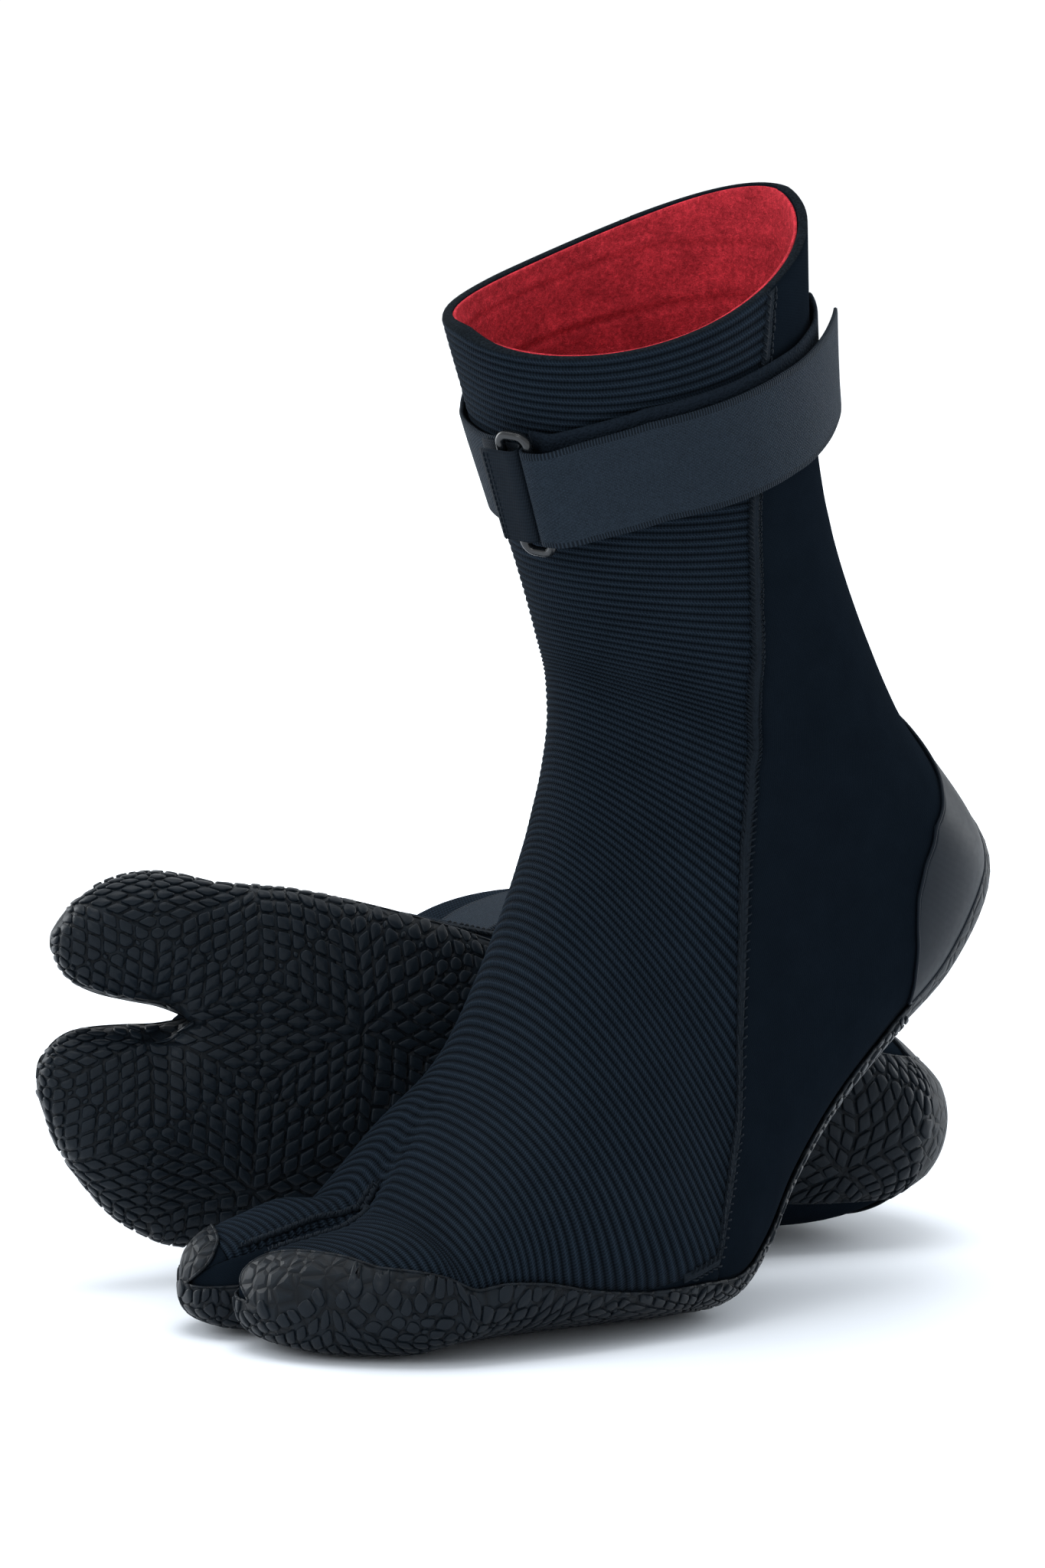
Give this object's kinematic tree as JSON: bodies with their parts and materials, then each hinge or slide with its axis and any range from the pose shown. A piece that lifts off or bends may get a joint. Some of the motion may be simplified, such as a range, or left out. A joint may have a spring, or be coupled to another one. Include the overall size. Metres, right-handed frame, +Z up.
{
  "type": "neoprene surf boots",
  "caption": "Pair of split-toe neoprene surf boots with moulded rubber soles and hook-and-loop ankle straps, one standing on its toes and one lying on its side.",
  "frame": {"origin": "on the ground, under the middle of the pair's footprint", "axes": "+Z up; +Y away from the viewer, the pair's longest extent; +X to the viewer's right, the way the heels point"},
  "size_m": [0.2694, 0.4122, 0.3118],
  "materials": {
    "ribbed_neoprene": "matte, fine ribbed knit over foam",
    "jersey_neoprene": "matte, fine smooth jersey over foam",
    "plush_lining": "deep red short pile",
    "sole_rubber": "satin, moulded in small raised pads",
    "heel_rubber": "satin, finely corrugated",
    "seam_thread": "matte overlocked thread",
    "nylon_webbing": "soft sheen, woven",
    "loop_tape": "matte loop pile",
    "strap_webbing": "soft sheen, woven selvedges",
    "hook_tape": "fine hooks",
    "ring_plastic": "satin moulded"
  },
  "bodies": {
    "right_boot": {"right_outsole": "sole_rubber", "right_bottom_panel": "jersey_neoprene", "right_front_panel": "ribbed_neoprene", "right_rear_panel": "jersey_neoprene", "right_toe_gusset": "jersey_neoprene", "right_heel_counter": "heel_rubber", "right_lining": "plush_lining", "right_lateral_seam": "seam_thread", "right_medial_seam": "seam_thread", "right_strap_base": "nylon_webbing", "right_strap_under": "loop_tape", "right_ring_tab": "nylon_webbing", "right_strap_anchor": "nylon_webbing"},
    "left_boot": {"left_outsole": "sole_rubber", "left_bottom_panel": "jersey_neoprene", "left_front_panel": "ribbed_neoprene", "left_rear_panel": "jersey_neoprene", "left_toe_gusset": "jersey_neoprene", "left_heel_counter": "heel_rubber", "left_lining": "plush_lining", "left_lateral_seam": "seam_thread", "left_medial_seam": "seam_thread", "left_strap_base": "nylon_webbing", "left_strap_under": "loop_tape", "left_ring_tab": "nylon_webbing", "left_strap_anchor": "nylon_webbing"},
    "left_ring_link": {"left_ring": "ring_plastic"},
    "left_strap_end": {"left_strap_tail": "strap_webbing", "left_hook_patch": "hook_tape"},
    "right_ring_link": {"right_ring": "ring_plastic"},
    "right_strap_end": {"right_strap_tail": "strap_webbing", "right_hook_patch": "hook_tape"}
  },
  "joints": [
    {"name": "left_boot_lift", "type": "slide", "parent": "right_boot", "child": "left_boot", "axis": [0, 0, 1], "range_m": [0, 0.3]},
    {"name": "left_ring_flip", "type": "hinge", "parent": "left_boot", "child": "left_ring_link", "pos_m": [0.00026, -0.15926, 0.22998], "axis": [0.2104, 0.4503, -0.8677], "range_deg": [0, 45]},
    {"name": "left_strap_open", "type": "hinge", "parent": "left_ring_link", "child": "left_strap_end", "pos_m": [0.00758, -0.16442, 0.22908], "axis": [0.2104, 0.4503, -0.8677], "range_deg": [0, 125]},
    {"name": "right_ring_flip", "type": "hinge", "parent": "right_boot", "child": "right_ring_link", "pos_m": [-0.03548, 0.13344, 0.03404], "axis": [-0.397, 0.9101, -0.1189], "range_deg": [0, 45]},
    {"name": "right_strap_open", "type": "hinge", "parent": "right_ring_link", "child": "right_strap_end", "pos_m": [-0.0316, 0.13408, 0.02594], "axis": [-0.397, 0.9101, -0.1189], "range_deg": [0, 125]}
  ]
}
